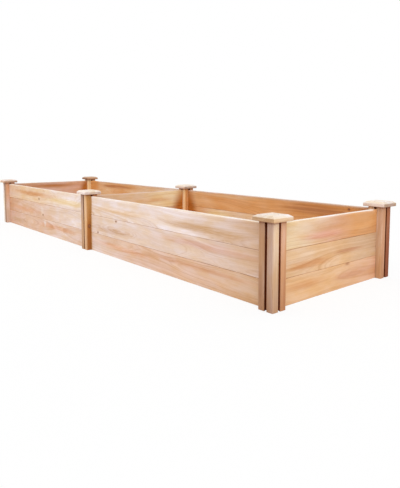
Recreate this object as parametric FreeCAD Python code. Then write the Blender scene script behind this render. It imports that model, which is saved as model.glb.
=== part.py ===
"""Raised garden bed in cedar: six posts, three tiers of boards on every wall, a divider and six caps.

The bed is two square-cornered bays in a row. Every post is the same stick, with a dovetail groove
down the middle of each of its four faces. Every board ends in a dovetail tongue that slides down
a groove, so the walls need no screws. Each post carries a bevelled cap, held by two nails.
The grooves that face outwards stay empty, ready for the boards of a neighbouring bed.

Frame: +X along the bed, +Y from the front wall to the back wall, +Z up. The origin is on the
ground, at the middle of the bed. Lengths are in millimetres.
"""

import FreeCAD, Part
import os

# Plan of the bed, measured between post centres.
BAY_LENGTH = 1219.2
BED_DEPTH = 609.6

# Boards.
BOARD_HEIGHT = 88.9
BOARD_THICKNESS = 15.875
BOARD_EDGE_RADIUS = 1.6

# Posts.
POST_WIDTH = 60.325
POST_ABOVE_BOARDS = 9.5
POST_EDGE_RADIUS = 2.0

# Dovetail groove in a post's face, and the play of the tongue that slides in it.
GROOVE_MOUTH = 9.525
GROOVE_DEPTH = 11.5
FLANK_CLEARANCE = 0.3
TIP_CLEARANCE = 0.5
SHOULDER_CLEARANCE = 0.3

# Caps.
CAP_OVERHANG = 14.2875
CAP_EDGE_HEIGHT = 12.0
CAP_BEVEL_WIDTH = 11.0
CAP_BEVEL_HEIGHT = 7.05
CAP_EDGE_RADIUS = 0.8

# Cap nails.
NAIL_LENGTH = 38.0
NAIL_SHANK_DIAMETER = 1.8
NAIL_HEAD_DIAMETER = 3.4
NAIL_HEAD_HEIGHT = 1.2
NAIL_POINT_LENGTH = 3.0
NAIL_SET_DEPTH = 0.4
NAIL_CLEARANCE = 0.05
NAIL_FROM_CENTRE = 12.0

# What follows from the sizes above.
TIERS = ("bottom", "middle", "top")
POST_HEIGHT = BOARD_HEIGHT * len(TIERS) + POST_ABOVE_BOARDS
CAP_WIDTH = POST_WIDTH + 2 * CAP_OVERHANG
CAP_TOP = POST_HEIGHT + CAP_EDGE_HEIGHT + CAP_BEVEL_HEIGHT
GROOVE_FLOOR = BOARD_THICKNESS + 2 * FLANK_CLEARANCE

# Where things stand, by the name of their place.
ROWS = {"front": -BED_DEPTH / 2, "back": BED_DEPTH / 2}
COLUMNS = {"left": -BAY_LENGTH, "middle": 0.0, "right": BAY_LENGTH}
BAYS = {"left": -BAY_LENGTH / 2, "right": BAY_LENGTH / 2}
CROSS_WALLS = {"left_end": -BAY_LENGTH, "divider": 0.0, "right_end": BAY_LENGTH}

UP = FreeCAD.Vector(0, 0, 1)


def point(x, y, z=0.0):
    return FreeCAD.Vector(x, y, z)


def polygon(points):
    """A closed wire through the points."""
    return Part.makePolygon([*points, points[0]])


def prism(outline, height):
    """The outline raised to the height."""
    return Part.Face(outline).extrude(UP * height)


def groove_half_width(depth):
    """Half the width of a dovetail groove at a depth under the post's face."""
    widening = (GROOVE_FLOOR - GROOVE_MOUTH) * depth / GROOVE_DEPTH
    return (GROOVE_MOUTH + widening) / 2


def post_side(quarter_turns):
    """One side of the post's outline with its groove, and the rounded corner that follows it."""
    face = POST_WIDTH / 2
    floor = face - GROOVE_DEPTH
    corner_start = face - POST_EDGE_RADIUS
    corner_middle = face - POST_EDGE_RADIUS * (1 - 0.5**0.5)
    outline = [
        point(face, -corner_start),
        point(face, -groove_half_width(0)),
        point(floor, -groove_half_width(GROOVE_DEPTH)),
        point(floor, groove_half_width(GROOVE_DEPTH)),
        point(face, groove_half_width(0)),
        point(face, corner_start),
    ]
    corner = [outline[-1], point(corner_middle, corner_middle), point(corner_start, face)]
    edges = [Part.LineSegment(a, b).toShape() for a, b in zip(outline, outline[1:])]
    edges.append(Part.Arc(*corner).toShape())
    for edge in edges:
        edge.rotate(point(0, 0), UP, 90 * quarter_turns)
    return edges


def nail(clearance=0.0, room_above=0.0):
    """A nail on the z axis, point down, with the top of its head at z = 0.

    With a clearance, and room above its head, it is the hole that the nail goes into.
    """
    shank = NAIL_SHANK_DIAMETER / 2 + clearance
    head = NAIL_HEAD_DIAMETER / 2 + clearance
    neck = -NAIL_HEAD_HEIGHT - clearance
    tip = -NAIL_LENGTH - clearance
    profile = [
        point(0, 0, room_above),
        point(head, 0, room_above),
        point(head, 0, neck),
        point(shank, 0, neck),
        point(shank, 0, tip + NAIL_POINT_LENGTH),
        point(0, 0, tip),
    ]
    return Part.Face(polygon(profile)).revolve(point(0, 0), UP, 360)


def at_nail_places(shape):
    """The shape once for each nail of a cap: on a diagonal, clear of the grooves, set into the cap."""
    copies = []
    for side in (-NAIL_FROM_CENTRE, NAIL_FROM_CENTRE):
        copies.append(placed(shape, side, side, CAP_TOP - NAIL_SET_DEPTH))
    return copies


def nail_holes():
    return at_nail_places(nail(NAIL_CLEARANCE, 2 * NAIL_SET_DEPTH))


def make_post():
    """A square post, standing on z = 0, with a dovetail groove in each face."""
    outline = [edge for quarter_turns in range(4) for edge in post_side(quarter_turns)]
    return prism(Part.Wire(outline), POST_HEIGHT).cut(nail_holes())


def square(width, z):
    half = width / 2
    return polygon([point(half, half, z), point(-half, half, z), point(-half, -half, z), point(half, -half, z)])


def make_cap():
    """A square slab on top of the post, bevelled round its top, with every edge eased."""
    bevel_start = POST_HEIGHT + CAP_EDGE_HEIGHT
    slab = Part.Face(square(CAP_WIDTH, POST_HEIGHT)).extrude(UP * CAP_EDGE_HEIGHT)
    flat_top = square(CAP_WIDTH - 2 * CAP_BEVEL_WIDTH, CAP_TOP)
    bevel = Part.makeLoft([square(CAP_WIDTH, bevel_start), flat_top], True, True)
    blank = slab.fuse(bevel).removeSplitter()
    return blank.makeFillet(CAP_EDGE_RADIUS, blank.Edges).cut(nail_holes())


def make_board(centre_to_centre):
    """A board along X, its lower edge on z = 0, that reaches from one post's groove to the next.

    It starts as a plank with eased edges, and its ends are then cut to dovetail tongues.
    """
    post_face = (centre_to_centre - POST_WIDTH) / 2
    shoulder = post_face - SHOULDER_CLEARANCE
    tongue = GROOVE_DEPTH - TIP_CLEARANCE
    tip = post_face + tongue
    side = BOARD_THICKNESS / 2
    neck_half = groove_half_width(0) - FLANK_CLEARANCE
    tip_half = groove_half_width(tongue) - FLANK_CLEARANCE

    plank = Part.makeBox(2 * tip, BOARD_THICKNESS, BOARD_HEIGHT, point(-tip, -side))
    long_edges = [edge for edge in plank.Edges if abs(edge.tangentAt(edge.FirstParameter).x) > 0.5]
    plank = plank.makeFillet(BOARD_EDGE_RADIUS, long_edges)

    right_end = [
        point(shoulder, -2 * side),
        point(shoulder, -neck_half),
        point(tip, -tip_half),
        point(tip, tip_half),
        point(shoulder, neck_half),
        point(shoulder, 2 * side),
    ]
    left_end = [point(-p.x, -p.y) for p in right_end]
    return plank.common(prism(polygon(right_end + left_end), BOARD_HEIGHT))


def placed(shape, x, y, z=0.0, quarter_turns=0):
    """A copy of the shape, turned about the z axis and then moved to its place."""
    copy = shape.copy()
    copy.rotate(point(0, 0), UP, 90 * quarter_turns)
    copy.translate(point(x, y, z))
    return copy


def posts_and_caps():
    post = make_post()
    cap = make_cap()
    nails = at_nail_places(nail())
    pieces = {}
    all_nails = []
    for row, y in ROWS.items():
        for column, x in COLUMNS.items():
            pieces[f"post_{row}_{column}"] = placed(post, x, y)
            pieces[f"cap_{row}_{column}"] = placed(cap, x, y)
            all_nails += [placed(one, x, y) for one in nails]
    pieces["cap_nails"] = Part.makeCompound(all_nails)
    return pieces


def boards():
    long_board = make_board(BAY_LENGTH)
    cross_board = make_board(BED_DEPTH)
    pieces = {}
    for tier, tier_name in enumerate(TIERS):
        z = tier * BOARD_HEIGHT
        for row, y in ROWS.items():
            for bay, x in BAYS.items():
                pieces[f"board_{row}_{bay}_{tier_name}"] = placed(long_board, x, y, z)
        for wall, x in CROSS_WALLS.items():
            pieces[f"board_{wall}_{tier_name}"] = placed(cross_board, x, 0, z, quarter_turns=1)
    return pieces


os.makedirs("parts", exist_ok=True)
for name, shape in {**posts_and_caps(), **boards()}.items():
    shape.exportStep(f"parts/{name}.step")
    print(f"{name}: {len(shape.Solids)} solid(s), {shape.Volume / 1000:.1f} cm3, valid {shape.isValid()}")
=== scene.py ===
# %% [markdown]
# # A raised garden bed of dovetailed cedar
#
# The bed is a frame of planed cedar boards, three high, round two planting bays. The imported model holds
# every piece at its real size and place. This lesson dresses it: each timber gets a surface worked out
# with numpy, and a finish made of shader nodes. The model's own box is kept.

import math

import bpy
import numpy as np
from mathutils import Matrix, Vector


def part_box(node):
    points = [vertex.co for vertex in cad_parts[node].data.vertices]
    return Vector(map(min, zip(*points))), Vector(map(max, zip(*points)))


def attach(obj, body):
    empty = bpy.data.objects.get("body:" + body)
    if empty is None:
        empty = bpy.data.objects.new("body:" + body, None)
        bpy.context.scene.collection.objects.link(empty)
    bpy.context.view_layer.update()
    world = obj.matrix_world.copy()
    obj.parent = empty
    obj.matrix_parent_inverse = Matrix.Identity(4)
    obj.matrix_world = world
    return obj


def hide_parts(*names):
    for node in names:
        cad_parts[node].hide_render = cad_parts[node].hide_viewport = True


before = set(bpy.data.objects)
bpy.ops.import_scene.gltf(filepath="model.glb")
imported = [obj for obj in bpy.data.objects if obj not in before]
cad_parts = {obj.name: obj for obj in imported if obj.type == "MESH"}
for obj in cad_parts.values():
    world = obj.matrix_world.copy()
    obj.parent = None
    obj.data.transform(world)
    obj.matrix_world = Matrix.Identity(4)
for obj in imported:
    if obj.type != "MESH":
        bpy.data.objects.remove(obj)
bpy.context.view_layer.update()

# %% [markdown]
# ## The camera
#
# The photograph looks along the bed from outside its front right corner, a little above the caps.
# The camera's place, heading and lens were found by matching the corners of the bed. The photograph
# is a crop, so the lens is shifted by what lies between its axis and the middle of the picture.

# %% Set the camera
IMAGE_SIZE = (400, 488)
AXIS_PIXEL = (208.85, 196.15)
FOCAL_LENGTH_PIXELS = 471.85
CAMERA_PLACE = (2.1685, -1.3665, 0.4790)
CAMERA_HEADING = math.radians(49.59)
CAMERA_TILT_DOWN = math.radians(5.23)


def add_object(name, data):
    """An object with its data, in the scene."""
    made = bpy.data.objects.new(name, data)
    bpy.context.scene.collection.objects.link(made)
    return made


def make_camera():
    """A camera whose focal length and shift, in pixels, are turned into parts of its sensor."""
    data = bpy.data.cameras.new("camera")
    long_side = max(IMAGE_SIZE)
    data.lens = FOCAL_LENGTH_PIXELS / long_side * data.sensor_width
    data.shift_x = (IMAGE_SIZE[0] / 2 - AXIS_PIXEL[0]) / long_side
    data.shift_y = (AXIS_PIXEL[1] - IMAGE_SIZE[1] / 2) / long_side
    data.clip_start = 0.05
    camera = add_object("camera", data)
    camera.location = CAMERA_PLACE
    camera.rotation_euler = (math.pi / 2 - CAMERA_TILT_DOWN, 0, CAMERA_HEADING)
    return camera


bpy.context.scene.camera = make_camera()
print(f"lens {bpy.context.scene.camera.data.lens:.1f} mm")

# %% [markdown]
# ## Sizes
#
# The boxes of the nodes give the sizes of post, board and cap. The joints and eased edges can't be
# read from a box, so their few sizes are written here. Every new surface is drawn a quarter of a
# millimetre inside its timber, which leaves hairline gaps between boards, and room for small bumps.

# %% Measure the timbers
MM = 0.001


def size_of(node):
    low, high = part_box(node)
    return np.array(high) - np.array(low)


POST_WIDTH, _, POST_HEIGHT = size_of("post_front_left")
CAP_WIDTH, _, CAP_HEIGHT = size_of("cap_front_left")
_, BOARD_THICKNESS, BOARD_HEIGHT = size_of("board_front_left_bottom")
SKIN_DEPTH = 0.25 * MM
BOARD_EDGE_RADIUS = 1.6 * MM
TONGUE_LENGTH = 11.3 * MM
TONGUE_NECK = 8.9 * MM
TONGUE_TIP = 15.5 * MM
POST_EDGE_RADIUS = 2.0 * MM
GROOVE_MOUTH = 9.525 * MM
GROOVE_FLOOR = 16.475 * MM
GROOVE_DEPTH = 11.5 * MM
CAP_EDGE_RADIUS = 0.8 * MM
CAP_EDGE_HEIGHT = 12.0 * MM
CAP_BEVEL_WIDTH = 11.0 * MM
NAIL_FROM_CENTRE = 12.0 * MM
print(f"post {POST_WIDTH / MM:.2f} mm, board {BOARD_THICKNESS / MM:.2f} by {BOARD_HEIGHT / MM:.1f} mm")

# %% [markdown]
# ## Skins over rings of points
#
# Every timber is a section carried along a line: a board's along its length, a post's up its height,
# and a cap's outline in from its edge. `rings[i, j]` is point j of ring i. Quads join each ring to
# the next, and a flat polygon closes each end. The points run anticlockwise seen from the last ring,
# which turns every face outwards.

# %% Join rings into a closed mesh
SHARP_ANGLE = math.radians(35)


def skin(node, rings):
    """A mesh whose quad (i, j) joins points j and j + 1 of ring i to the same points of ring i + 1."""
    ring_count, around, _ = rings.shape
    index = np.arange(ring_count * around).reshape(ring_count, around)
    following = np.roll(index, -1, axis=1)
    quads = np.stack([index[:-1], following[:-1], following[1:], index[1:]], axis=-1).reshape(-1, 4)
    corners = np.concatenate([quads.ravel(), index[0, ::-1], index[-1]])
    sizes = np.concatenate([np.full(len(quads), 4), [around, around]])
    starts = np.concatenate([[0], np.cumsum(sizes)[:-1]])
    mesh = bpy.data.meshes.new("timber_" + node)
    mesh.vertices.add(ring_count * around)
    mesh.vertices.foreach_set("co", rings.astype(np.float32).ravel())
    mesh.loops.add(len(corners))
    mesh.loops.foreach_set("vertex_index", corners.astype(np.int32))
    mesh.polygons.add(len(sizes))
    mesh.polygons.foreach_set("loop_start", starts.astype(np.int32))
    mesh.update(calc_edges=True)
    mesh.shade_smooth()
    mesh.set_sharp_from_angle(angle=SHARP_ANGLE)
    return mesh


# %% [markdown]
# ## Sections
#
# A planed board has eased edges, so its section is a rectangle with a quarter circle at each corner.
# Its size and radius may differ from ring to ring, so that a board's edges can wander and a cap's
# rings can shrink towards the middle of its top. The rounded corners are marked, because worn edges
# are paler than the faces between them.


# %% Draw an eased rectangle
def eased_rectangle(width, height, radius, side_steps, arc_steps=3):
    """Rings of points round rounded rectangles, and 1 at each point of a rounded corner, else 0.

    A corner's arc is its centre plus radius times (cos, sin) of the angle. The side after it is
    divided evenly, into one number of steps along the width and another along the height.
    """
    width, height, radius = (np.asarray(v, float).reshape(-1, 1, 1) for v in (width, height, radius))
    half = np.concatenate([width, height], axis=2) / 2 - radius
    angle = np.linspace(0, math.pi / 2, arc_steps + 1)
    arcs = []
    for quarter, signs in enumerate([(1, 1), (-1, 1), (-1, -1), (1, -1)]):
        turned = angle + quarter * math.pi / 2
        arcs.append(half * np.array(signs) + radius * np.stack([np.cos(turned), np.sin(turned)], axis=-1))
    points = []
    rounded = []
    for quarter in range(4):
        start = arcs[quarter][:, -1:]
        end = arcs[(quarter + 1) % 4][:, :1]
        share = np.linspace(0, 1, side_steps[quarter % 2] + 1)[1:-1].reshape(1, -1, 1)
        points += [arcs[quarter], start + (end - start) * share]
        rounded += [np.ones(arc_steps + 1), np.zeros(share.size)]
    return np.concatenate(points, axis=1), np.concatenate(rounded)


print("points round a board:", len(eased_rectangle(1, 1, 0.1, (3, 16))[1]))

# %% [markdown]
# ## Unevenness
#
# No planed timber is perfectly true. Sine waves with random directions and phases, added up, give a
# smooth, endless unevenness. It is the same on every run, because its seed is fixed. Each axis has
# its own wavelength: long along the grain and short across it.

# %% Make smooth unevenness
WAVE_COUNT = 16
USUAL_PEAK = 1.7 * math.sqrt(WAVE_COUNT)


def unevenness(points, wavelengths, seed):
    """A smooth height, mostly between -1 and 1: sine waves of random direction and phase, added up."""
    random = np.random.default_rng(seed)
    directions = random.normal(size=(WAVE_COUNT, len(wavelengths))) * 2 * math.pi / np.array(wavelengths)
    phases = random.uniform(0, 2 * math.pi, WAVE_COUNT)
    return np.sin(points @ directions.T + phases).sum(axis=-1) / USUAL_PEAK


def smooth_step(start, end, value):
    """0 at start and before it, 1 at end and beyond it, and a smooth S curve between them."""
    share = np.clip((value - start) / (end - start), 0, 1)
    return share * share * (3 - 2 * share)


def in_few_places(points, wavelengths, seed):
    """0 nearly everywhere, and up to 1 where the unevenness is high."""
    return smooth_step(0.5, 1.2, unevenness(points, wavelengths, seed))


trial = unevenness(np.linspace(0, 1, 500)[:, None], (0.1,), 1)
print(f"unevenness from {trial.min():.2f} to {trial.max():.2f}")

# %% [markdown]
# ## Cedar colours
#
# Sapwood is nearly cream, heartwood runs from honey through peach to a rosy brown, and boards from
# one log differ. So each timber is given finishes by name. They are written as they look on a
# screen, and turned into the linear values that light is worked out in.


# %% Mix the finishes
def paint(red, green, blue):
    """A linear colour from screen values of 0 to 255, by the standard screen curve."""
    screen = np.array([red, green, blue]) / 255
    return np.where(screen <= 0.04045, screen / 12.92, ((screen + 0.055) / 1.055) ** 2.4)


def blend(colour, other, share):
    """A colour mixed with another, as far as the share at each point says."""
    return colour + (other - colour) * share[..., None]


SCREEN_COLOURS = {
    "ivory": (248, 236, 224),
    "cream": (235, 216, 205),
    "blush": (228, 205, 190),
    "shell": (222, 188, 164),
    "rose": (214, 172, 150),
    "straw": (230, 198, 164),
    "honey": (226, 184, 140),
    "salmon": (220, 170, 136),
    "amber": (213, 156, 106),
    "fawn": (208, 174, 148),
    "butter": (238, 212, 168),
    "copper": (221, 162, 106),
    "ochre": (216, 152, 88),
    "coral": (222, 158, 130),
    "apricot": (252, 218, 172),
    "caramel": (203, 150, 112),
    "oat": (204, 166, 130),
    "olive": (196, 148, 90),
    "tan": (180, 138, 106),
    "dusk": (186, 152, 130),
    "russet": (190, 128, 80),
    "bronze": (174, 113, 54),
    "umber": (164, 100, 66),
    "rust": (144, 76, 42),
    # bark is the colour of the painted shade in the inside corners by the posts.
    "bark": (178, 106, 38),
}
FINISHES = {name: paint(*colour) for name, colour in SCREEN_COLOURS.items()}
print("finishes:", ", ".join(FINISHES))

# %% [markdown]
# ## Which board has which finish
#
# The boards are matched to the photograph by comparing it with renders. A board passes through its
# finishes from its left or front end to its right or back end. Figures are broad flames where the saw ran
# through a deeper layer of the log: ellipses along the grain, broken up later by the rings.
# The last ellipses are even ones beside the posts. The bark ones, in the inside corners by the back
# middle and back left posts, are painted shade. The olive ones, beside the front middle post, are a
# painted shadow. The ochre and copper ones colour the wood by the back left and back right posts. Each
# line gives millimetres along the bed (across it, for a cross board) and above the ground, and then an
# ellipse's half length, half height and finish, or a knot's radius.

# %% Choose the boards
BOARD_FINISHES = {
    "front_left_bottom": "rose shell shell blush shell",
    "front_left_middle": "caramel shell shell blush cream",
    "front_left_top": "shell straw straw cream cream",
    "front_right_bottom": "blush shell shell oat",
    "front_right_middle": "blush blush blush fawn",
    "front_right_top": "cream cream cream fawn",
    "back_left_bottom": "honey rose amber",
    "back_left_middle": "honey straw salmon",
    # Its ivory right end is painted light, lifting the shadow that the divider casts there.
    "back_left_top": "copper honey copper honey straw ivory",
    "back_right_bottom": "rose honey amber",
    "back_right_middle": "copper straw straw rose",
    "back_right_top": "honey copper copper copper ochre ochre",
    "left_end_bottom": "straw honey",
    "left_end_middle": "fawn salmon",
    "left_end_top": "caramel rose salmon",
    "divider_bottom": "honey straw",
    "divider_middle": "straw fawn",
    "divider_top": "shell straw straw butter butter",
    "right_end_bottom": "honey honey salmon",
    "right_end_middle": "straw honey oat",
    "right_end_top": "butter straw salmon copper amber",
}
FIGURES = {
    "front_left_top": [
        (-760, 228, 300, 14, "amber"),
        (-640, 205, 26, 30, "straw"),
        (-250, 212, 250, 18, "butter"),
    ],
    "front_left_middle": [(-900, 122, 240, 16, "salmon"), (-600, 135, 22, 30, "blush")],
    "front_left_bottom": [
        (-420, 58, 240, 14, "salmon"),
        (-1000, 40, 160, 14, "fawn"),
        (-560, 68, 20, 24, "blush"),
    ],
    "front_right_top": [(910, 212, 240, 14, "oat"), (280, 214, 200, 12, "straw")],
    "front_right_middle": [(240, 118, 160, 12, "fawn"), (900, 150, 260, 14, "rose")],
    "front_right_bottom": [(850, 66, 320, 9, "caramel"), (330, 50, 220, 12, "salmon")],
    "back_right_top": [
        (930, 236, 170, 22, "russet"),
        (420, 252, 200, 8, "honey"),
        (1160, 228, 70, 30, "russet"),
    ],
    "back_right_middle": [(292, 152, 84, 22, "butter")],
    "back_left_top": [(-330, 214, 260, 10, "straw"), (-800, 240, 200, 12, "russet")],
    "right_end_top": [(-50, 206, 100, 11, "coral"), (200, 232, 90, 20, "copper")],
    "right_end_middle": [(90, 134, 80, 7, "caramel"), (-130, 118, 110, 13, "amber")],
    "right_end_bottom": [
        (-150, 54, 110, 14, "amber"),
        (120, 44, 100, 13, "salmon"),
        (86, 84, 14, 4, "umber"),
    ],
    "left_end_top": [(0, 240, 150, 12, "russet")],
    "divider_top": [(60, 222, 130, 10, "honey")],
}
# Bark ellipses are painted shade in the inside corners by the posts; olive ones are a painted shadow
# beside the front middle post.
STAINS_AND_PAINTED_SHADE = {
    "front_right_top": [(30, 240, 15, 90, "olive")],
    "front_right_middle": [(30, 133, 11, 90, "olive")],
    "front_right_bottom": [(30, 44, 9, 90, "olive")],
    "back_right_top": [(0, 110, 102, 162, "bark")],
    "back_right_middle": [(0, 110, 102, 162, "bark")],
    "divider_top": [(305, 110, 98, 162, "bark")],
    "divider_middle": [(305, 110, 98, 162, "bark")],
    "left_end_top": [(305, 200, 80, 70, "bark")],
    "right_end_top": [(292, 262, 46, 20, "copper")],
    "back_left_top": [(-1219, 250, 150, 80, "ochre")],
}
KNOTS = {
    "front_left_middle": [(-590, 112, 5)],
    "front_left_top": [(-646, 203, 5)],
    "front_right_middle": [(281, 169, 4), (104, 97, 4)],
    "back_right_top": [(1091, 251, 4)],
    "back_right_bottom": [(700, 52, 9)],
    "back_left_middle": [(-380, 120, 8), (-1010, 150, 5)],
    "back_left_bottom": [(-700, 30, 6)],
    "left_end_middle": [(-120, 128, 9)],
    "left_end_bottom": [(140, 46, 6)],
    "divider_middle": [(60, 140, 7)],
    "divider_bottom": [(-150, 38, 6)],
}
print(f"{len(BOARD_FINISHES)} boards, {sum(map(len, KNOTS.values()))} knots")

# %% [markdown]
# ## The grain of the log
#
# Growth rings look right only when they belong to a log, so each timber remembers where it lay in
# its tree: how far along the pith, and how far across and away from it. The pith leans and wanders,
# so a flat face cuts the rings at a slant, which draws the long arches of flat-sawn boards.

# %% Find the place in the log
PITH_AWAY = (0.03, 0.10)
PITH_BESIDE = 0.05
PITH_LEAN = 0.014
PITH_WANDER = 0.008
PITH_WAVELENGTH = 0.8
LOG_SPACING = 3


def place_in_log(along, across, through, seed):
    """Distance along the pith, then across and away from a pith that leans and wanders."""
    random = np.random.default_rng(seed)
    away = random.choice([-1, 1]) * random.uniform(*PITH_AWAY)
    beside = random.uniform(-PITH_BESIDE, PITH_BESIDE)
    lean = random.normal(0, PITH_LEAN, 2)
    line = along[..., None]
    wander = [PITH_WANDER * unevenness(line, (PITH_WAVELENGTH,), seed + more) for more in (100, 200)]
    across = across - beside - lean[0] * along - wander[0]
    through = through - away - lean[1] * along - wander[1]
    return np.stack([along + LOG_SPACING * seed, across, through], axis=-1)


# %% [markdown]
# ## What a mesh tells its material
#
# The place in the log, the finish, the nearest knot, the end grain and the worn edges are stored on
# the mesh as attributes, which the shader reads by name. Each corner of a face stores its distance
# from a knot, counted in the knot's radius. All corners of a face measure from the same knot, so it
# stays perfectly round between them.

# %% Store attributes
ATTRIBUTE_FIELDS = {"FLOAT": "value", "FLOAT_VECTOR": "vector", "FLOAT_COLOR": "color"}
NO_KNOTS = [(9000, 9000, 9000, 5)]


def store(mesh, name, kind, domain, values):
    """Puts an array of numbers on a mesh, one row for each point, corner or face."""
    layer = mesh.attributes.new(name, kind, domain)
    layer.data.foreach_set(ATTRIBUTE_FIELDS[kind], np.asarray(values, np.float32).ravel())


def read(items, field, width, kind=np.float32):
    """One field of every item of a mesh, as an array with a row for each item."""
    values = np.empty(len(items) * width, kind)
    items.foreach_get(field, values)
    return values.reshape(-1, width) if width > 1 else values


def store_nearest_knot(mesh, places, knots):
    """Stores each corner's distance from the nearest knot, in three directions, over its radius."""
    places = places.reshape(-1, 3)
    knots = np.array(knots or NO_KNOTS) * MM
    vertex = read(mesh.loops, "vertex_index", 1, np.int32)
    start = read(mesh.polygons, "loop_start", 1, np.int32)
    count = read(mesh.polygons, "loop_total", 1, np.int32)
    gap = places[vertex[start]][:, None] - knots[:, :3]
    nearest = np.repeat((np.linalg.norm(gap, axis=-1) / knots[:, 3]).argmin(axis=1), count)
    offsets = (places[vertex] - knots[nearest, :3]) / knots[nearest, 3:]
    store(mesh, "knot", "FLOAT_VECTOR", "CORNER", offsets)


def store_end_grain(mesh, axis, darkness=1.0):
    """Stores how squarely each face cuts the grain: the square of its normal along the timber."""
    across = read(mesh.polygons, "normal", 3)[:, axis] ** 2
    store(mesh, "end_grain", "FLOAT", "FACE", darkness * across)


def store_looks(mesh, grain, groove, edge, finish, figure, strength=0.0):
    """Stores at each point its place in the log, its painted shade in grooves, seams and under caps, how
    rounded it is, and two colours.

    The figure is the second colour, and its strength, from 0 to 1, goes with it as a fourth number.
    """
    store(mesh, "grain", "FLOAT_VECTOR", "POINT", grain)
    for name, colour, amount in (("finish", finish, 1.0), ("figure", figure, strength)):
        amount = np.broadcast_to(amount, grain.shape[:-1])[..., None]
        store(mesh, name, "FLOAT_COLOR", "POINT", np.concatenate([colour, amount], axis=-1))
    store(mesh, "groove", "FLOAT", "POINT", groove)
    store(mesh, "edge", "FLOAT", "POINT", edge)


# %% [markdown]
# ## Shader nodes in a few words
#
# A material is a small program drawn as nodes. A few helpers keep it readable. They add nodes, and
# start and finish a group, which is a program that several materials can share. The groups work out
# masks, colours and heights. The shader itself stays in each material.


# %% Add nodes
def join(tree, value, socket):
    """Joins a socket to another one, or sets it to a plain value."""
    if isinstance(value, bpy.types.NodeSocket):
        tree.links.new(value, socket)
    else:
        socket.default_value = value


def add(tree, kind, inputs=None, **settings):
    """A new node with its settings made, and its inputs joined to sockets or set to values."""
    made = tree.nodes.new("ShaderNode" + kind)
    for name, value in settings.items():
        setattr(made, name, value)
    for key, value in (inputs or {}).items():
        join(tree, value, made.inputs[key])
    return made


def work_out(tree, operation, *values):
    """The result of one sum on numbers: ADD, MULTIPLY, POWER and so on."""
    return add(tree, "Math", dict(enumerate(values)), operation=operation).outputs[0]


def weigh(tree, total, *terms):
    """A number with each term added to it, a term being a socket and its weight."""
    for socket, weight in terms:
        total = work_out(tree, "MULTIPLY_ADD", socket, weight, total)
    return total


def length_of(tree, vector):
    return add(tree, "VectorMath", {0: vector}, operation="LENGTH").outputs["Value"]


def stretch(tree, vector, *scale):
    """A position with each direction stretched, so that a pattern runs long or short along it."""
    return add(tree, "VectorMath", {0: vector, 1: scale}, operation="MULTIPLY").outputs[0]


def ramp(tree, value, start, end, low=0.0, high=1.0):
    """A smooth step from low at start to high at end."""
    inputs = {"Value": value, 1: start, 2: end, 3: low, 4: high}
    return add(tree, "MapRange", inputs, interpolation_type="SMOOTHSTEP").outputs[0]


def noise(tree, position, along, across, detail=2.0):
    """Cloudy values of about 0.3 to 0.7, with so many features to a metre along and across the grain."""
    inputs = {"Vector": stretch(tree, position, along, across, across), "Scale": 1.0, "Detail": detail}
    return add(tree, "TexNoise", inputs).outputs[0]


def noise_along(tree, distance, rate, detail=0.0):
    """The same cloudy values along a single distance, with so many features to one unit of it."""
    inputs = {"W": work_out(tree, "MULTIPLY", distance, rate), "Scale": 1.0, "Detail": detail}
    return add(tree, "TexNoise", inputs, noise_dimensions="1D").outputs[0]


def cover(tree, colour, share, over):
    """A colour covered by another, as far as the share says."""
    return add(tree, "Mix", {0: share, 6: colour, 7: over}, data_type="RGBA").outputs[2]


def shade(tree, colour, share, pale, dark):
    """A colour multiplied by something between a pale and a dark shade, as the share says."""
    inputs = {0: 1.0, 6: colour, 7: cover(tree, (*pale, 1), share, (*dark, 1))}
    return add(tree, "Mix", inputs, data_type="RGBA", blend_type="MULTIPLY").outputs[2]


# %% Start and finish a group
def start_group(name, **inputs):
    """An empty node group with named sockets, _ standing for a space: its tree, and what comes in."""
    tree = bpy.data.node_groups.new(name, "ShaderNodeTree")
    for title, kind in inputs.items():
        title = title.replace("_", " ")
        tree.interface.new_socket(title, in_out="INPUT", socket_type="NodeSocket" + kind)
    return tree, tree.nodes.new("NodeGroupInput").outputs


def finish_group(tree, **results):
    """Puts each result out under its name."""
    for title, socket in results.items():
        tree.interface.new_socket(title, in_out="OUTPUT", socket_type=socket.bl_idname)
    goals = tree.nodes.new("NodeGroupOutput").inputs
    for title, socket in results.items():
        tree.links.new(socket, goals[title])
    print(f"group {tree.name}: {len(tree.nodes)} nodes")
    return tree


# %% [markdown]
# ## Knots
#
# A knot is a branch cut across: a dark core with rings of its own, a thin darker line of bark, and
# warmer wood round it. The trunk's rings bend round it, so the group also puts out a swelling that
# pushes them aside. The distance is counted in knot radii, and made a little ragged by noise.


# %% Group for knots
def knot_group():
    tree, given = start_group("knots", Knot="Vector")
    knot = given["Knot"]
    length = work_out(tree, "SUBTRACT", length_of(tree, stretch(tree, knot, 0.8, 1, 1)), 0.4)
    distance = weigh(tree, length, (noise(tree, knot, 1.4, 1.4), 0.8))
    outer = ramp(tree, distance, 1.25, 1.0)
    wave = work_out(tree, "SINE", work_out(tree, "MULTIPLY", distance, 26))
    pushed = stretch(tree, knot, 0.22, 0.5, 0.5)
    square = add(tree, "VectorMath", {0: pushed, 1: pushed}, operation="DOT_PRODUCT").outputs["Value"]
    return finish_group(
        tree,
        Core=ramp(tree, distance, 1.0, 0.75),
        Rim=work_out(tree, "MULTIPLY", ramp(tree, distance, 0.7, 0.95), outer),
        Ring=work_out(tree, "MULTIPLY", ramp(tree, wave, 0.0, 1.0), ramp(tree, distance, 1.0, 0.8)),
        Halo=ramp(tree, distance, 3.0, 0.9),
        Swelling=work_out(tree, "EXPONENT", work_out(tree, "MULTIPLY", square, -1)),
    )


KNOT_GROUP = knot_group()

# %% [markdown]
# ## Growth rings
#
# The distance from the pith, made wavy by noise, is divided by the width of a ring. What is left
# after the whole rings are taken away runs from 0 to 1 across each year: pale wood first, then a
# thin dark line of latewood that ends sharply. Broader bands follow the same rings, because several
# dry or wet years in a row change the colour of the wood.


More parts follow.
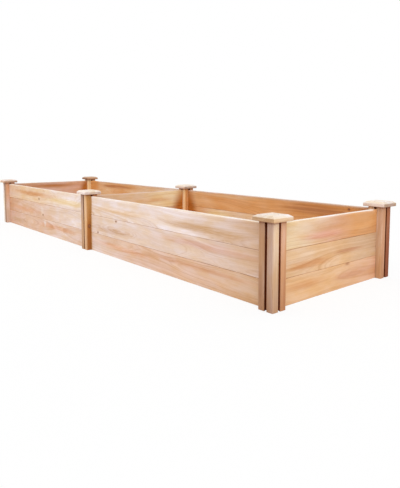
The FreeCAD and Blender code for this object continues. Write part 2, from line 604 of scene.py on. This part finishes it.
# %% Group for growth rings
def ring_group():
    tree, given = start_group("growth rings", Grain="Vector", Swelling="Float", Ring_Width="Float")
    grain = given["Grain"]
    distance = weigh(
        tree,
        length_of(tree, stretch(tree, grain, 0, 1, 1)),
        (noise(tree, grain, 2.2, 9, 1.0), 0.030),
        (noise(tree, grain, 14, 110), 0.0020),
        (given["Swelling"], 0.009),
    )
    count = work_out(tree, "DIVIDE", distance, given["Ring Width"])
    year = work_out(tree, "FRACT", weigh(tree, count, (noise_along(tree, count, 0.4), 3)))
    line = work_out(tree, "MULTIPLY", ramp(tree, year, 0.35, 0.9), ramp(tree, year, 1.0, 0.93))
    season = ramp(tree, noise_along(tree, count, 0.3, 1.0), 0.3, 0.7, 0.15, 1.0)
    return finish_group(
        tree,
        Latewood=work_out(tree, "MULTIPLY", line, season),
        Band=ramp(tree, noise_along(tree, distance, 85, 2.0), 0.36, 0.64),
    )


RING_GROUP = ring_group()

# %% [markdown]
# ## Fibres
#
# Between the rings the wood is a bundle of fibres. On a face they are streaks, long along the grain
# and under a millimetre wide, and on a sawn end they are dots. Noise in the log's own directions
# gives both. Clouds are the slow drift of colour along a board, and the mottle is smaller patches.

# %% Group for fibres
FIBRE_NOISES = {
    "Fibre": (40, 1500, 2.0, 0.25),
    "Streak": (6, 260, 3.0, 0.30),
    "Cloud": (3.5, 28, 2.0, 0.32),
    "Mottle": (11, 34, 3.0, 0.30),
}


def fibre_group():
    """Masks of noise with its own rates and detail, 0 below its last number and 1 as far below 1."""
    tree, given = start_group("fibres", Grain="Vector")
    masks = {}
    for title, (along, across, detail, low) in FIBRE_NOISES.items():
        masks[title] = ramp(tree, noise(tree, given["Grain"], along, across, detail), low, 1 - low)
    return finish_group(tree, **masks)


FIBRE_GROUP = fibre_group()

# %% [markdown]
# ## The colour of worked cedar
#
# This group lays everything over the finish in the order in which it happened: the tree grew figures,
# bands, rings, streaks and knots, the saw opened darker end grain, and handling rubbed the edges pale.
# Before the pale edges comes painted shade, which darkens the grooves, the seams between boards, the
# posts' heads under the caps and the caps' lowest edge brown. The shades of grown wood lie on both sides
# of 1, so that the finish stays its average colour.

# %% Group for cedar colour
PLAIN = (1.0, 1.0, 1.0)
GROWN_SHADES = {
    "Band": ((1.04, 1.06, 1.09), (0.96, 0.93, 0.90)),
    "Cloud": ((1.02, 1.04, 1.06), (0.98, 0.96, 0.93)),
    "Mottle": ((1.02, 1.05, 1.14), (0.985, 0.925, 0.81)),
    "Latewood": ((1.02, 1.03, 1.04), (0.91, 0.84, 0.77)),
    "Streak": ((1.03, 1.04, 1.05), (0.97, 0.96, 0.95)),
    "Fibre": ((1.03, 1.03, 1.04), (0.97, 0.97, 0.96)),
    "Halo": (PLAIN, (0.92, 0.83, 0.74)),
}
# End grain is the darker sawn end; the second row is painted shade in grooves, seams, under the caps and
# at the caps' lowest edge.
END_GRAIN_AND_PAINTED_SHADES = {
    "End Grain": (PLAIN, (0.42, 0.30, 0.20)),
    "Painted Shade": (PLAIN, (0.47, 0.17, 0.04)),
}
KNOT_CORE = (*paint(154, 100, 66), 1)
KNOT_BARK = (*paint(116, 72, 48), 1)
KNOT_RINGS = (0.70, 0.58, 0.48)
RUBBED_SHADE = (1.08, 1.10, 1.12)


def colour_group():
    masks = (*GROWN_SHADES, "Core", "Rim", "Ring", *END_GRAIN_AND_PAINTED_SHADES, "Edge", "Figure Strength")
    kinds = {"Finish": "Color", "Figure": "Color", **dict.fromkeys(masks, "Float")}
    tree, given = start_group("cedar colour", **kinds)
    flame = weigh(tree, 0.25, (given["Band"], 0.6), (given["Streak"], 0.5))
    flame = ramp(tree, work_out(tree, "MULTIPLY", given["Figure Strength"], flame), 0.1, 1.0)
    rim = work_out(tree, "MULTIPLY", given["Rim"], 0.8)
    rubbed = work_out(tree, "MULTIPLY", given["Edge"], given["Streak"])
    colour = cover(tree, given["Finish"], flame, given["Figure"])
    for mask, shades in GROWN_SHADES.items():
        colour = shade(tree, colour, given[mask], *shades)
    colour = cover(tree, colour, given["Core"], KNOT_CORE)
    colour = shade(tree, colour, given["Ring"], PLAIN, KNOT_RINGS)
    colour = cover(tree, colour, rim, KNOT_BARK)
    for mask, shades in END_GRAIN_AND_PAINTED_SHADES.items():
        colour = shade(tree, colour, given[mask], *shades)
    return finish_group(tree, Color=shade(tree, colour, rubbed, PLAIN, RUBBED_SHADE))


COLOUR_GROUP = colour_group()

# %% [markdown]
# ## The feel of planed cedar
#
# A planer leaves faint ripples across the grain, and presses the soft wood between the latewood
# lines a little lower. Sawn ends are much rougher. The group puts out a height for a Bump node, and a
# roughness: latewood is denser and a touch shinier.

# %% Group for the surface
RIPPLE_RATE = 3500
SAW_MARKS = 900
PLANED_ROUGHNESS = 0.62


def surface_group():
    masks = ("Latewood", "Fibre", "Streak", "End Grain")
    tree, given = start_group("planed surface", Grain="Vector", **dict.fromkeys(masks, "Float"))
    grain = given["Grain"]
    latewood, fibre, streak, end_grain = (given[mask] for mask in masks)
    along = add(tree, "SeparateXYZ", {0: grain}).outputs[0]
    drift = work_out(tree, "MULTIPLY", noise(tree, grain, 5, 30, 1.0), 6)
    ripple = work_out(tree, "SINE", weigh(tree, drift, (along, RIPPLE_RATE)))
    saw = work_out(tree, "MULTIPLY", noise(tree, grain, SAW_MARKS, SAW_MARKS, 3.0), end_grain)
    heights = ((fibre, 0.5), (streak, 0.5), (latewood, 0.6), (ripple, 0.06), (saw, 4))
    roughness = ((latewood, -0.08), (fibre, 0.08), (end_grain, 0.15))
    return finish_group(
        tree,
        Height=weigh(tree, 0.0, *heights),
        Roughness=weigh(tree, PLANED_ROUGHNESS, *roughness),
    )


SURFACE_GROUP = surface_group()

# %% [markdown]
# ## Cedar materials
#
# Boards, posts and caps share the groups and differ in the width of their rings. Each group finds
# its inputs by name, among the attributes and the outputs of the groups before it. Bare cedar has no
# varnish, so its specular level is low, and its bump is a tenth of a millimetre deep.

# %% Make cedar
ATTRIBUTES = {
    "Grain": ("grain", "Vector"),
    "Knot": ("knot", "Vector"),
    "Finish": ("finish", "Color"),
    "Figure": ("figure", "Color"),
    "Figure Strength": ("figure", "Alpha"),
    "End Grain": ("end_grain", "Fac"),
    # The groove attribute holds painted shade.
    "Painted Shade": ("groove", "Fac"),
    "Edge": ("edge", "Fac"),
}
BUMP_DEPTH = 0.1 * MM
BUMP_STRENGTH = 0.8
SPECULAR_LEVEL = 0.25


def use_group(tree, group, known):
    """Places a group, joins its inputs to what is known by their names, and adds its outputs to that."""
    placed = add(tree, "Group", node_tree=group)
    for socket in placed.inputs:
        join(tree, known[socket.name], socket)
    known.update((socket.name, socket) for socket in placed.outputs)


def empty_material(name):
    """A material with its default nodes taken out, and its tree."""
    material = bpy.data.materials.new(name)
    material.use_nodes = True
    material.node_tree.nodes.clear()
    return material, material.node_tree


def make_cedar(name, ring_width):
    material, tree = empty_material(name)
    known = {"Ring Width": ring_width}
    for title, (stored, output) in ATTRIBUTES.items():
        known[title] = add(tree, "Attribute", attribute_name=stored).outputs[output]
    for group in (KNOT_GROUP, RING_GROUP, FIBRE_GROUP, COLOUR_GROUP, SURFACE_GROUP):
        use_group(tree, group, known)
    relief = {"Height": known["Height"], "Distance": BUMP_DEPTH, "Strength": BUMP_STRENGTH}
    inputs = {
        "Base Color": known["Color"],
        "Roughness": known["Roughness"],
        "Specular IOR Level": SPECULAR_LEVEL,
        "Normal": add(tree, "Bump", relief).outputs[0],
    }
    add(tree, "OutputMaterial", {"Surface": add(tree, "BsdfPrincipled", inputs).outputs[0]})
    return material


BOARD_CEDAR = make_cedar("planed board cedar", 3.2 * MM)
POST_CEDAR = make_cedar("planed post cedar", 2.6 * MM)
CAP_CEDAR = make_cedar("sawn cap cedar", 2.2 * MM)
print("nodes in a cedar material:", len(BOARD_CEDAR.node_tree.nodes))

# %% [markdown]
# ## Placing a timber
#
# Every timber is drawn at the origin, along the x axis or up the z axis, and its points are then turned
# and moved to the middle of its node. The object itself stays at the origin, as the packed model's
# objects do. Each new piece rides on the bed's one body and replaces its node.


# %% Put a piece on the bed
def middle_of(node):
    low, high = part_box(node)
    return (np.array(low) + np.array(high)) / 2


def quarter_turn(points):
    """Points turned a quarter turn about the z axis: x becomes y, and y becomes minus x."""
    return np.stack([-points[..., 1], points[..., 0], points[..., 2]], axis=-1)


def add_timber(node, mesh, material):
    mesh.materials.append(material)
    timber = add_object("timber_" + node, mesh)
    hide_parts(node)
    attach(timber, "root")
    return timber


def faces_of(timbers):
    return sum(len(timber.data.polygons) for timber in timbers)


# %% [markdown]
# ## The surface of a board
#
# A board is a plank whose ends are cut down to dovetail tongues. Sawn cedar cups across its width,
# bows along its length, and has edges that wander, so the section changes as it is carried along.
# Two rings at each shoulder make the square step down to the tongue.

# %% Carry the section along a board
RING_SPACING = 6 * MM
BOW = 1.2 * MM
CUP = 0.7 * MM
CROOK = 0.12 * MM
DENT = 0.1 * MM
BOARD_NICK = 0.5 * MM
HELD_LENGTH = 150 * MM
TONGUE_HEIGHT_SHARE = 0.99


def tongue_ring(ring, along, width):
    """A ring of the board made as narrow as its tongue, and a hair less tall, at a place along it."""
    narrow = ring * [0, width / BOARD_THICKNESS, TONGUE_HEIGHT_SHARE]
    return (narrow + [along, 0, 0])[None]


def board_rings(length, seed):
    """Rings of (along, through, up) from one tongue's tip to the other's, and the mark of the edges.

    The section is moved sideways by a bow, sine waves along the board, and by a cup, a parabola
    across it. Both fade to nothing at the shoulders, where the posts hold the board straight.
    """
    tip = length / 2 - SKIN_DEPTH
    shoulder = tip - TONGUE_LENGTH
    line = np.linspace(-shoulder, shoulder, round(2 * shoulder / RING_SPACING))[:, None]
    radius = BOARD_EDGE_RADIUS * (1 + 0.3 * unevenness(line, (0.2,), seed))
    height = BOARD_HEIGHT - 2 * SKIN_DEPTH
    section, rounded = eased_rectangle(BOARD_THICKNESS - 2 * SKIN_DEPTH, height, radius, (3, 16))
    through, up = np.moveaxis(section, -1, 0)
    along = np.broadcast_to(line, up.shape)
    place = np.stack([along, through, up], axis=-1)

    held = smooth_step(0, HELD_LENGTH, shoulder - abs(line))
    bow = BOW * unevenness(line, (1.1,), seed + 1)[:, None]
    cup = CUP * unevenness(line, (2.0,), seed + 2)[:, None] * (1 - (2 * up / height) ** 2)
    crook = CROOK * unevenness(line, (0.3,), seed + 3)[:, None]
    dents = DENT * unevenness(place, (0.05, 0.02, 0.02), seed + 4)
    nicks = BOARD_NICK * in_few_places(place, (0.02, 0.04, 0.04), seed + 5) * rounded
    through = through * (1 - (nicks - dents) / (BOARD_THICKNESS / 2)) + held * (bow + cup)
    up = up * (1 - nicks / (BOARD_HEIGHT / 2)) + held * crook
    body = np.stack([along, through, up], axis=-1)

    left = [tongue_ring(body[0], -tip, TONGUE_TIP), tongue_ring(body[0], -shoulder, TONGUE_NECK)]
    right = [tongue_ring(body[-1], shoulder, TONGUE_NECK), tongue_ring(body[-1], tip, TONGUE_TIP)]
    rings = np.concatenate([*left, body, *right])
    return rings, np.broadcast_to(rounded, rings.shape[:2])


trial, _ = board_rings(size_of("board_front_left_top")[0], 1)
print(f"a long board: {trial[..., 0].size} points, {np.ptp(trial[..., 1]) / MM:.1f} mm deep with its bow")

# %% [markdown]
# ## The finish of a board
#
# The finish drifts from one colour to the next along the board, a little unevenly. A figure is kept apart
# from it, as a colour and a strength that falls off towards the ellipse's edge, because the material
# breaks it up along the rings. More than half of it is laid over the finish beforehand, which keeps its
# edge soft. Stains and painted shade are even, and only on the side that looks to the front or right.

# %% Colour a board
STAIN_AND_SHADE_ENDS = (1.3, 0.7)
FIGURE_ENDS = (1.7, 0.1)


def board_finish(name, along, up, seed):
    """The board's finishes at even distances along it, blended from each to the next."""
    stops = np.array([FINISHES[finish] for finish in BOARD_FINISHES[name].split()])
    place = np.stack([along, up], axis=-1)
    share = (along - along.min()) / np.ptp(along) + 0.06 * unevenness(place, (0.4, 0.06), seed)
    every = np.linspace(0, 1, len(stops))
    return np.stack([np.interp(share, every, channel) for channel in stops.T], axis=-1)


def board_figures(ellipses, ends, along, up, colour):
    """The colour of the strongest ellipse at each point, and its strength.

    The strength is a smooth step between the two distances at which an ellipse is gone and full,
    counted in its own half axes.
    """
    colour = colour.copy()
    strength = np.zeros(along.shape)
    for centre, level, half_length, half_height, finish in ellipses:
        beyond = np.hypot((along / MM - centre) / half_length, (up / MM - level) / half_height)
        here = smooth_step(*ends, beyond)
        colour[here > strength] = FINISHES[finish]
        strength = np.maximum(strength, here)
    return colour, strength


# %% [markdown]
# ## Seams and top edges
#
# Where one board stands on another, the rounded edges are darkened unevenly, as painted shade in the
# seam. The top edges meet no board: on the front walls and the right end they carry an ivory painted
# highlight, and on the divider they are blush. On the back and left walls they are blush too, above a
# fawn band on the faces below them.

# %% Mark the edges of a board
# The ivory top edge is a painted highlight on the top faces and edges, which face the light.
LIT_TOP_EDGE = [("ivory", 0.2 * MM, 2.2 * MM)]
DULL_EDGE = [("blush", 0.2 * MM, 2.2 * MM)]
FAWN_BAND_EDGE = [("fawn", 3 * MM, 9 * MM), *DULL_EDGE]
TOP_EDGES = {
    "front_left_top": LIT_TOP_EDGE,
    "front_right_top": LIT_TOP_EDGE,
    "right_end_top": LIT_TOP_EDGE,
    "divider_top": DULL_EDGE,
    "left_end_top": FAWN_BAND_EDGE,
    "back_left_top": FAWN_BAND_EDGE,
    "back_right_top": FAWN_BAND_EDGE,
}
HALF_HEIGHT = BOARD_HEIGHT / 2 - SKIN_DEPTH
SEAM_REACH = 1.7 * MM
SEAM_FULL = 0.3 * MM


def seam_shade(name, rings, seed):
    """How much painted shade each point has: a smooth step of the height near the edges that meet other
    boards.
    """
    up = rings[..., 2]
    uneven = unevenness(rings[..., :1], (0.12,), seed + 6)
    near_edge = smooth_step(HALF_HEIGHT - SEAM_REACH, HALF_HEIGHT - SEAM_FULL, abs(up))
    free = (up > 0) & (name in TOP_EDGES)
    return np.where(free, 0, near_edge * np.clip(0.12 + 0.22 * uneven, 0, 1))


def with_top_edge(name, rings, finish):
    """The finish, blended into that of each band, which is full at one depth and gone at the next."""
    below = HALF_HEIGHT - rings[..., 2]
    for band, full, gone in TOP_EDGES.get(name, ()):
        finish = blend(finish, FINISHES[band], smooth_step(gone, full, below))
    return finish


# %% [markdown]
# ## Boards round the bays
#
# A cross board is drawn as a long one is and then given a quarter turn. The figures and knots are
# placed on the bed, so the points are moved before they are coloured.

# %% Make the boards
FIGURE_LAID = 0.6
FACE_ENDS = (2 * MM, -2 * MM)


def make_board(name, seed):
    node = "board_" + name
    size = size_of(node)
    crosswise = size[1] > size[0]
    rings, rounded = board_rings(max(size[:2]), seed)
    points = (quarter_turn(rings) if crosswise else rings) + middle_of(node)
    along = points[..., 1 if crosswise else 0]
    up = points[..., 2]
    mesh = skin(node, points)
    in_log = place_in_log(rings[..., 0], rings[..., 2], rings[..., 1], seed)
    finish = with_top_edge(name, rings, board_finish(name, along, up, seed))
    # Stains and painted shade: bark corners are painted shade, and the olive band beside the front middle
    # post is a painted shadow.
    stain_and_shade, share = board_figures(STAINS_AND_PAINTED_SHADE.get(name, ()), STAIN_AND_SHADE_ENDS, along, up, finish)
    finish = blend(finish, stain_and_shade, share * smooth_step(*FACE_ENDS, rings[..., 1]))
    figure, strength = board_figures(FIGURES.get(name, ()), FIGURE_ENDS, along, up, finish)
    finish = blend(finish, figure, FIGURE_LAID * strength)
    store_looks(mesh, in_log, seam_shade(name, rings, seed), rounded, finish, figure, strength)
    knots = [(centre, level, 0, radius) for centre, level, radius in KNOTS.get(name, ())]
    store_nearest_knot(mesh, np.stack([along, up, 0 * up], axis=-1), knots)
    store_end_grain(mesh, 1 if crosswise else 0)
    return add_timber(node, mesh, BOARD_CEDAR)


boards = [make_board(name, seed) for seed, name in enumerate(BOARD_FINISHES, start=11)]
print(f"{len(boards)} boards, {faces_of(boards)} faces")

# %% [markdown]
# ## The section of a post
#
# A post is a square stick with the same dovetail groove down the middle of each face. One side of
# its outline is drawn and repeated at every quarter turn. The groove's mouth has a small ragged lip,
# where the cutter tore out a few fibres. The grooves part the faces into eight strips, and their
# finishes are listed from the right face's front strip round by the back. On four posts, two or
# three strips have another finish at the foot.

# %% Draw one side of a post
# The apricot strips, on the front faces of the back posts, are painted light: paler than the wood, for
# the strong light there.
POST_FINISHES = {
    "front_left": "salmon salmon honey honey straw honey blush tan",
    "front_middle": "olive amber honey amber amber honey dusk honey",
    "front_right": "straw salmon amber honey honey fawn tan dusk",
    "back_left": "butter amber amber honey honey amber apricot apricot",
    "back_middle": "copper amber honey straw honey amber apricot apricot",
    "back_right": "caramel umber caramel rose honey amber apricot fawn",
}
POST_FEET = {
    "front_left": {0: "blush", 6: "ivory"},
    "front_middle": {0: "bronze", 6: "oat"},
    "front_right": {0: "oat", 1: "caramel"},
    "back_right": {1: "rust", 6: "salmon", 7: "oat"},
}
STRIP_MIDDLES = np.array([-27, 27, 63, 117, 153, 207, 243, 297])
STRIP_STOPS = np.radians(STRIP_MIDDLES[:, None] + [-13, 13]).ravel()
POST_KNOTS = {
    "front_middle": [(120, 28, -16, 7)],
    "back_left": [(80, 12, 28, 6)],
    "back_right": [(190, -14, 28, 5)],
}
LIP = 0.4 * MM
NEAR_LIP = 1.01 * LIP
GROOVE_SHADE_ENDS = (0.3 * MM, 5 * MM)
SIDE_STEPS = (6, 1, 5, 6, 5, 1, 6)
ARC_STEPS = 4


def subdivide(corners, steps):
    """Points along straight runs, each divided into its own number of steps, without the last."""
    run_starts = np.concatenate([[0], np.cumsum(steps)])
    every = np.arange(run_starts[-1])
    return np.stack([np.interp(every, run_starts, column) for column in np.array(corners).T], axis=-1)


def post_side():
    """Points (x, y) of the side that faces +x and of the corner after it, with three marks.

    The marks are how deep in the groove a point is, whether it is on the corner, and which lip of
    the groove it is on: -1, 0 or 1.
    """
    face = POST_WIDTH / 2 - SKIN_DEPTH
    floor = face - GROOVE_DEPTH
    corner = face - POST_EDGE_RADIUS
    half = [
        (face, corner),
        (face, GROOVE_MOUTH / 2 + LIP),
        (face - LIP, GROOVE_MOUTH / 2),
        (floor, GROOVE_FLOOR / 2),
    ]
    outline = [(x, -y) for x, y in half] + half[::-1]
    side = subdivide(outline, SIDE_STEPS)
    x, y = side.T
    angle = np.linspace(0, math.pi / 2, ARC_STEPS, endpoint=False)
    arc = corner + POST_EDGE_RADIUS * np.stack([np.cos(angle), np.sin(angle)], axis=-1)
    # Painted shade: the deeper in the groove, the darker and browner.
    depth = smooth_step(*GROOVE_SHADE_ENDS, face - x)
    on_lip = (abs(abs(y) - GROOVE_MOUTH / 2) < NEAR_LIP) & (x > face - NEAR_LIP)
    side_marks = np.stack([depth, 0 * depth, np.sign(y) * on_lip])
    arc_marks = np.tile([[0], [1], [0]], ARC_STEPS)
    return np.concatenate([side, arc]), np.concatenate([side_marks, arc_marks], axis=1)


print("points on one side of a post:", len(post_side()[0]))

# %% [markdown]
# ## Posts
#
# The outline is carried up the post. The lips of its grooves wander in and out from ring to ring, each on
# its own noise, and the corners have small nicks. The finish is blended round the post by bearing, and
# the last millimetres under the cap are darkened brown, as painted shade under the cap's overhang.

# %% Find the finish round a post
FOOT_DARKENING_REACH = 130 * MM
FOOT_DARKENING_WANDER = 30 * MM
FOOT_DARKENING = (0.16, 0.22, 0.26)
HEAD_SHARE = 0.9
FOOT_SHARE = 0.3


def round_the_post(names, bearing):
    """The colour at each bearing, every strip plain and blended into the next over its corner."""
    stops = np.repeat([FINISHES[name] for name in names], 2, axis=0)
    colour = [np.interp(bearing, STRIP_STOPS, channel, period=2 * math.pi) for channel in stops.T]
    return np.stack(colour, axis=-1)


def post_finish(place, x, y, up, seed):
    """The strips' colours at the head, blended into those at the foot by a smooth step of the height.

    Towards the foot the colour goes down by up to a quarter.
    """
    bearing = np.arctan2(y, x) + 0.04 * unevenness(up[..., None], (0.2,), seed)
    names = POST_FINISHES[place].split()
    changes = POST_FEET.get(place, {})
    head = round_the_post(names, bearing)
    foot = round_the_post([changes.get(strip, name) for strip, name in enumerate(names)], bearing)
    finish = blend(head, foot, smooth_step(HEAD_SHARE * POST_HEIGHT, FOOT_SHARE * POST_HEIGHT, up))
    wander = FOOT_DARKENING_WANDER * unevenness(np.stack([x, y], -1), (0.02, 0.02), seed)
    return finish * (1 - smooth_step(FOOT_DARKENING_REACH, 0, up + wander)[..., None] * FOOT_DARKENING)


# %% Make the posts
POST_RINGS = 60
POST_NICK = 0.4 * MM
TORN = 0.4 * MM
UNDER_CAP_SHADE_ENDS = (9 * MM, 2 * MM)
UNDER_CAP_DARKENING = 0.2
UNDER_CAP_SHADE_BROWN = 0.6


def post_rings(seed):
    """Rings of points up a post, and how deep in a groove and how near a corner each point is."""
    points, (depth, corner, lip) = post_side()
    level = np.linspace(SKIN_DEPTH, POST_HEIGHT - SKIN_DEPTH, POST_RINGS)[:, None]
    sides = []
    for quarter in range(4):
        torn = TORN * (0.5 + abs(unevenness(level, (0.03,), seed + quarter)))[:, None]
        nick = POST_NICK * in_few_places(level, (0.03,), seed + 4 + quarter)[:, None]
        x = points[:, 0] - nick * corner
        y = points[:, 1] + torn * lip - nick * corner
        ring = np.stack([x, y, np.broadcast_to(level, x.shape)], axis=-1)
        for _ in range(quarter):
            ring = quarter_turn(ring)
        sides.append(ring)
    rings = np.concatenate(sides, axis=1)
    depth, corner = (np.broadcast_to(np.tile(mark, 4), rings.shape[:2]) for mark in (depth, corner))
    return rings, depth, corner


def make_post(place, seed):
    node = "post_" + place
    rings, depth, corner = post_rings(seed)
    x, y, up = np.moveaxis(rings, -1, 0)
    # Painted shade under the cap's overhang: the post's last millimetres are darker and browner.
    under_cap_shade = smooth_step(*UNDER_CAP_SHADE_ENDS, POST_HEIGHT - up)
    mesh = skin(node, rings + middle_of(node) * [1, 1, 0])
    finish = post_finish(place, x, y, up, seed) * (1 - UNDER_CAP_DARKENING * under_cap_shade[..., None])
    # Painted shade deep in the grooves and under the cap.
    groove = np.maximum(depth, UNDER_CAP_SHADE_BROWN * under_cap_shade)
    store_looks(mesh, place_in_log(up, x, y, seed), groove, corner, finish, finish)
    store_nearest_knot(mesh, np.stack([up, x, y], axis=-1), POST_KNOTS.get(place, ()))
    store_end_grain(mesh, 2)
    return add_timber(node, mesh, POST_CEDAR)


posts = [make_post(place, seed) for seed, place in enumerate(POST_FINISHES, start=51)]
print(f"{len(posts)} posts, {faces_of(posts)} faces")

# %% [markdown]
# ## Caps
#
# A cap is a square slab with a bevel round its top. Its rings are rounded squares that follow a
# profile: in from under the edge, up the side, in along the bevel and over the top to the middle.
# Each nail was set with a punch, so its head lies at the bottom of a small dimple. The tops are paler
# than the sides, as a painted highlight where they face the light. Two sides are sawn end grain, which
# has browned more on some caps than on others, and which two they are depends on how the cap was turned.

# %% Make the caps
CAP_FINISHES = {
    "front_left": ("cream", "shell", "x", 0.5),
    "front_middle": ("ivory", "cream", "x", 0.3),
    "front_right": ("ivory", "straw", "y", 0.6),
    "back_left": ("fawn", "tan", "y", 0.5),
    "back_middle": ("ivory", "blush", "x", 0.6),
    "back_right": ("ivory", "blush", "x", 0.7),
}
CAP_STEPS = (2, 1, 1, 6, 1, 8, 2, 46, 1)
CAP_WEAR = 0.15 * MM
DIMPLE_DEPTH = 0.7 * MM
DIMPLE_RADIUS = 1.9 * MM
LIT_TOP_ENDS = (CAP_EDGE_HEIGHT - 1 * MM, CAP_EDGE_HEIGHT + 1 * MM)
SHADOW_ENDS = (1.2 * MM, 0.2 * MM)


def cap_rings(seed):
    """Rings of points from the underside's edge to the middle of the top, and the mark of the corners.

    The profile gives each ring's distance in from the edge and its height. The dimples take the
    top down by a smooth step of the distance from the nail.
    """
    top = CAP_HEIGHT - SKIN_DEPTH
    ease = CAP_EDGE_RADIUS
    profile = [
        (4 * ease, 0),
        (ease, 0),
        (0.3 * ease, 0.3 * ease),
        (0, ease),
        (0, CAP_EDGE_HEIGHT - ease),
        (0.5 * ease, CAP_EDGE_HEIGHT),
        (CAP_BEVEL_WIDTH - ease, top - 0.3 * ease),
        (CAP_BEVEL_WIDTH + ease, top),
        (CAP_WIDTH / 2 - 1 * MM, top),
    ]
    inward, level = subdivide(profile + [profile[-1]], CAP_STEPS).T
    half = CAP_WIDTH / 2 - SKIN_DEPTH - inward
    corner_radius = np.minimum(ease, 0.5 * half)
    outline, rounded = eased_rectangle(2 * half, 2 * half, corner_radius, (38, 38), arc_steps=2)
    level = np.broadcast_to(level[:, None], outline.shape[:2])
    points = np.concatenate([outline, level[..., None]], axis=-1)
    wear = CAP_WEAR * unevenness(points, (0.03, 0.03, 0.01), seed) - CAP_WEAR
    points[..., :2] *= 1 + wear[..., None] / (CAP_WIDTH / 2)
    for side in (-NAIL_FROM_CENTRE, NAIL_FROM_CENTRE):
        from_nail = np.hypot(points[..., 0] - side, points[..., 1] - side)
        dimple = smooth_step(1.6 * DIMPLE_RADIUS, DIMPLE_RADIUS, from_nail)
        points[..., 2] -= DIMPLE_DEPTH * dimple * (points[..., 2] > 0.9 * top)
    return points, np.broadcast_to(rounded, level.shape)


def make_cap(place, seed):
    node = "cap_" + place
    rings, rounded = cap_rings(seed)
    lit_top_finish, side_finish, grain_axis, darkness = CAP_FINISHES[place]
    x, y, up = np.moveaxis(rings, -1, 0)
    along, across = (x, y) if grain_axis == "x" else (y, x)
    foot = middle_of(node) * [1, 1, 0] + [0, 0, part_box(node)[0].z]
    mesh = skin(node, rings + foot)
    # Painted highlight: the top finish is paler than the side finish.
    finish = blend(FINISHES[side_finish], FINISHES[lit_top_finish], smooth_step(*LIT_TOP_ENDS, up))
    shadowed = 0.8 * smooth_step(*SHADOW_ENDS, up)
    store_looks(mesh, place_in_log(along, across, up, seed), shadowed, rounded, finish, finish)
    store_nearest_knot(mesh, rings, None)
    store_end_grain(mesh, "xy".index(grain_axis), darkness)
    return add_timber(node, mesh, CAP_CEDAR)


caps = [make_cap(place, seed) for seed, place in enumerate(CAP_FINISHES, start=71)]
print(f"{len(caps)} caps, {faces_of(caps)} faces")

# %% [markdown]
# ## Cap nails
#
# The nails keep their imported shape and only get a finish: dipped zinc, a soft grey metal with duller
# patches. Noise on the object's own coordinates sets both the grey and the roughness.


# %% Finish the nails
def make_zinc():
    material, tree = empty_material("dipped zinc")
    place = add(tree, "TexCoord").outputs["Object"]
    patches = ramp(tree, noise(tree, place, 900, 900, 3.0), 0.35, 0.65)
    colour = cover(tree, (*paint(176, 178, 180), 1), patches, (*paint(140, 142, 146), 1))
    inputs = {"Base Color": colour, "Metallic": 1.0, "Roughness": weigh(tree, 0.35, (patches, 0.2))}
    add(tree, "OutputMaterial", {"Surface": add(tree, "BsdfPrincipled", inputs).outputs[0]})
    return material


zinc = make_zinc()
for material_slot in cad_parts["cap_nails"].material_slots:
    material_slot.material = zinc
print("nails finished in", zinc.name)

# %% [markdown]
# ## Floor
#
# The photograph's background is plain white. To the camera, and in reflections, the floor is mostly
# a white glow, with a lit part that keeps a faint shadow. To every other ray it is plain white paint,
# which throws light back up at the boards.

# %% Lay the floor
FLOOR_SIZE = 12.0
GLOW_SHARE = 0.85


def seen_directly(tree):
    """1 for rays from the camera and for rays seen in metal or through glass, and 0 for light."""
    path = add(tree, "LightPath").outputs
    reflected = work_out(tree, "MAXIMUM", path["Is Glossy Ray"], path["Is Transmission Ray"])
    return work_out(tree, "MAXIMUM", path["Is Camera Ray"], reflected)


def make_floor():
    """A square in the ground's plane that glows to the camera, and is lit as paint to other rays."""
    material, tree = empty_material("white floor")
    lit = add(tree, "BsdfDiffuse", {"Color": (1, 1, 1, 1)}).outputs[0]
    glow = add(tree, "Emission", {"Color": (1, 1, 1, 1), "Strength": 1.0}).outputs[0]
    share = work_out(tree, "MULTIPLY", seen_directly(tree), GLOW_SHARE)
    mixed = add(tree, "MixShader", {0: share, 1: lit, 2: glow}).outputs[0]
    add(tree, "OutputMaterial", {"Surface": mixed})
    half = FLOOR_SIZE / 2
    corners = half * np.array([(-1, -1, 0), (1, -1, 0), (1, 1, 0), (-1, 1, 0)])
    mesh = bpy.data.meshes.new("floor")
    mesh.from_pydata(corners.tolist(), [], [(0, 1, 2, 3)])
    mesh.materials.append(material)
    floor = add_object("floor", mesh)


make_floor()
print(f"floor {FLOOR_SIZE:g} m square")

# %% [markdown]
# ## Light
#
# A white sky gives the even light of a studio tent. The only lamp is a sun with a very wide disc,
# high behind the camera, so its shadows are soft and it is equally strong at both ends of the bed.
# The two together bring out a colour about as it is written, and Standard view keeps it so.

# %% Light the bed
SKY_LEVEL = 0.75
SUN_FROM = (0.50, -0.50, 0.74)
SUN_STRENGTH = 1.05
SUN_DISC = math.radians(50)


def make_sky():
    """A white world, a little dimmer as light than as background."""
    world = bpy.data.worlds.new("studio sky")
    world.use_nodes = True
    tree = world.node_tree
    tree.nodes.clear()
    seen = seen_directly(tree)
    strength = work_out(tree, "MULTIPLY_ADD", seen, 1 - SKY_LEVEL, SKY_LEVEL)
    sky = add(tree, "Background", {"Color": (1, 1, 1, 1), "Strength": strength})
    add(tree, "OutputWorld", {"Surface": sky.outputs[0]})
    bpy.context.scene.world = world


def make_sun():
    """A sun that shines from a direction: its own axis is tipped over and then turned about z."""
    data = bpy.data.lights.new("studio sun", "SUN")
    data.energy = SUN_STRENGTH
    data.angle = SUN_DISC
    sun = add_object("studio sun", data)
    x, y, z = SUN_FROM
    sun.location = SUN_FROM
    sun.rotation_euler = (math.atan2(math.hypot(x, y), z), 0, math.atan2(x, -y))


make_sky()
make_sun()
bpy.context.scene.view_settings.view_transform = "Standard"
print(f"sky {SKY_LEVEL}, sun {SUN_STRENGTH} W per square metre")
